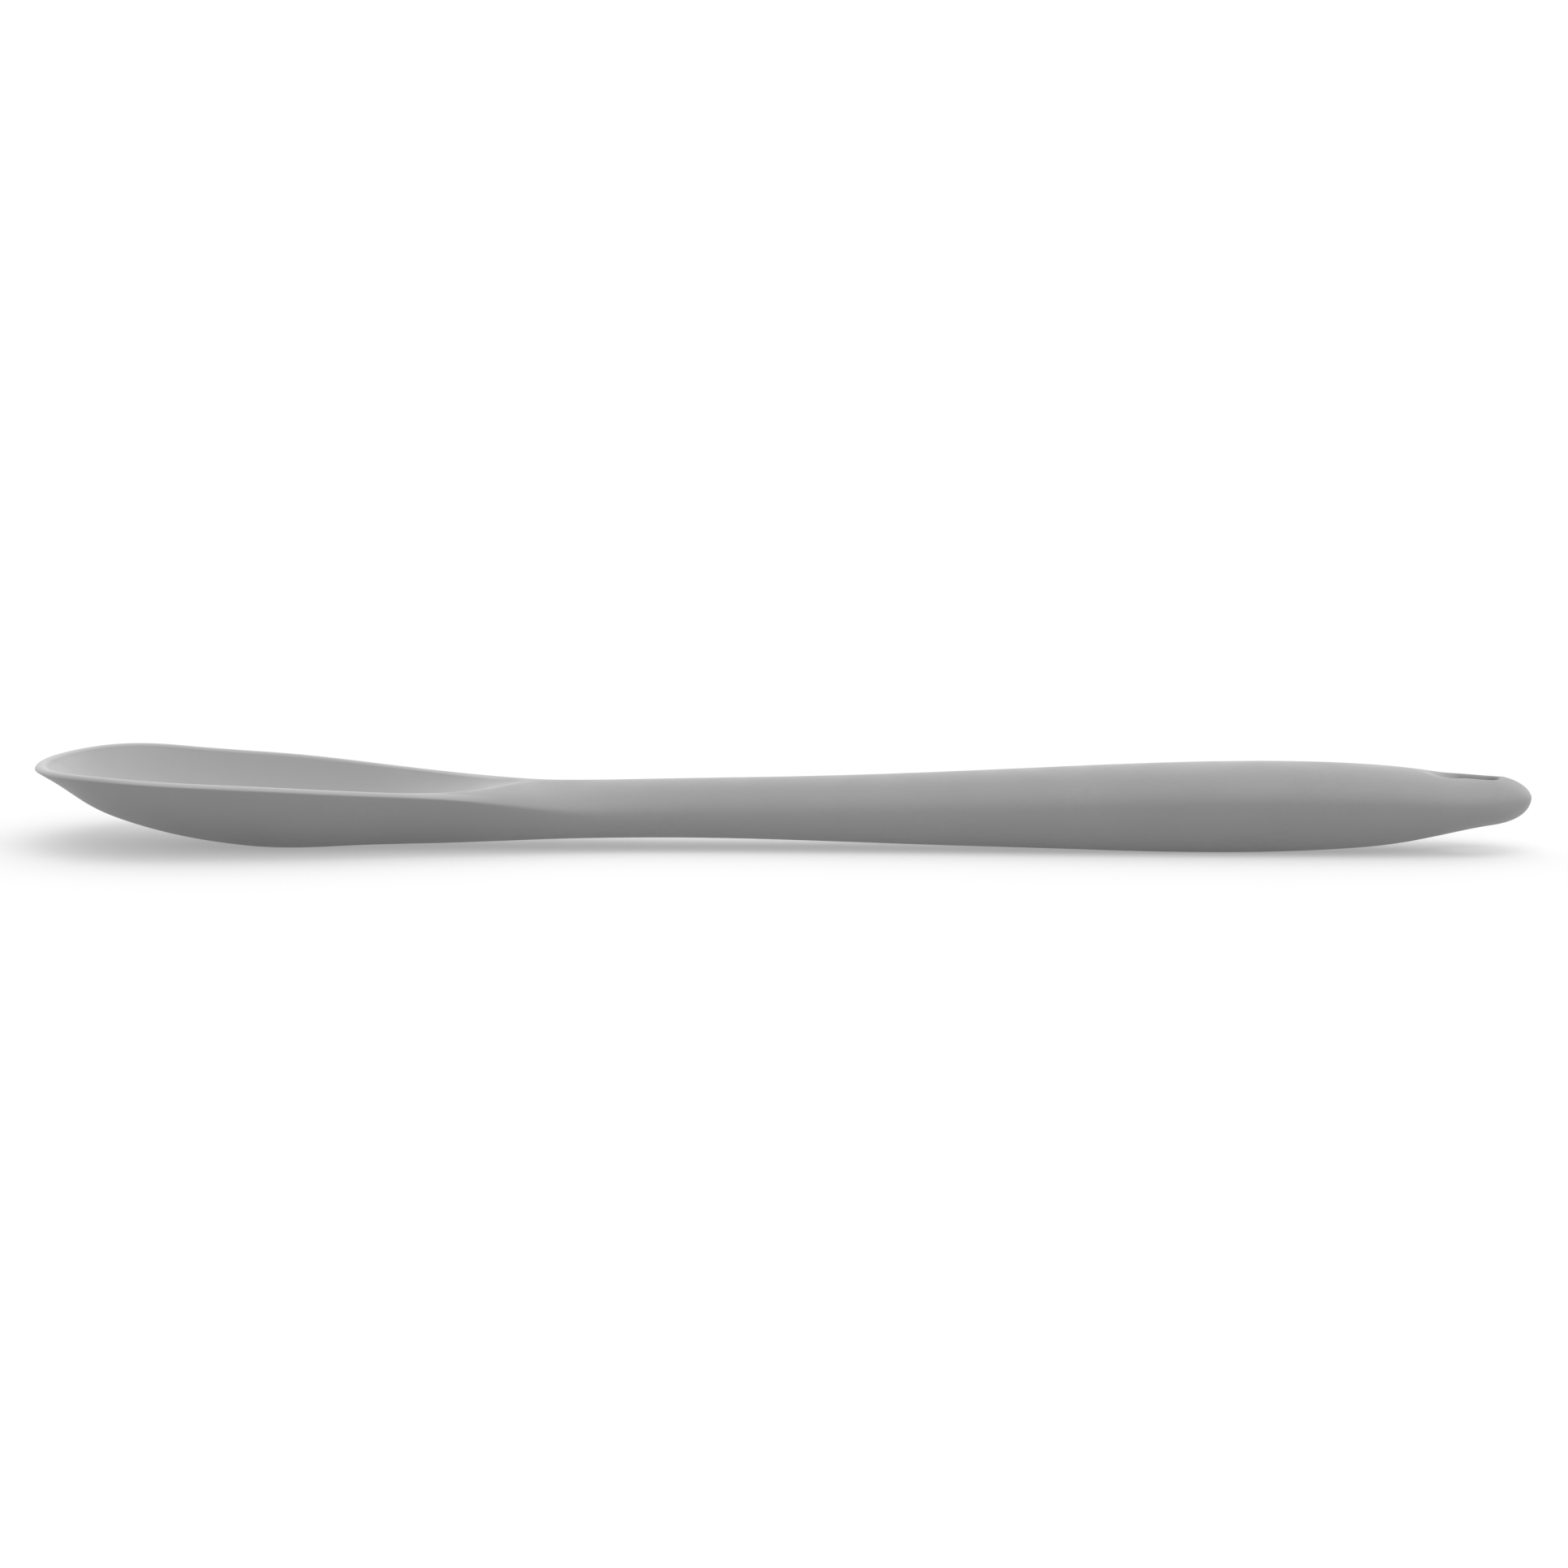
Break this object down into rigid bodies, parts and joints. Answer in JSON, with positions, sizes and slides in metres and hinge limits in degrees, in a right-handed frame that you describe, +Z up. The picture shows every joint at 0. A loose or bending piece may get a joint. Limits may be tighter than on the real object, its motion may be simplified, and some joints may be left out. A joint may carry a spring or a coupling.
{
  "type": "spoon-spatula",
  "caption": "Soft spoon-spatula: a shallow open bowl, a slim neck and a swelling round handle in one silicone skin over a stiff core, with a hang hole.",
  "frame": {"origin": "on the surface it rests on, below the middle of its length and width", "axes": "+X along the handle away from the bowl, +Z up out of the open bowl, +Y across it"},
  "size_m": [0.28, 0.0498, 0.0166],
  "materials": {
    "silicone": "fine matt moulded silicone, neutral grey",
    "steel": "plain rolled stainless strip with stamped edges",
    "nylon": "matt black glass-filled nylon"
  },
  "bodies": {
    "root": {"silicone_skin": "silicone", "steel_stiffener": "steel", "core_lower": "nylon", "core_upper": "nylon"}
  },
  "joints": []
}
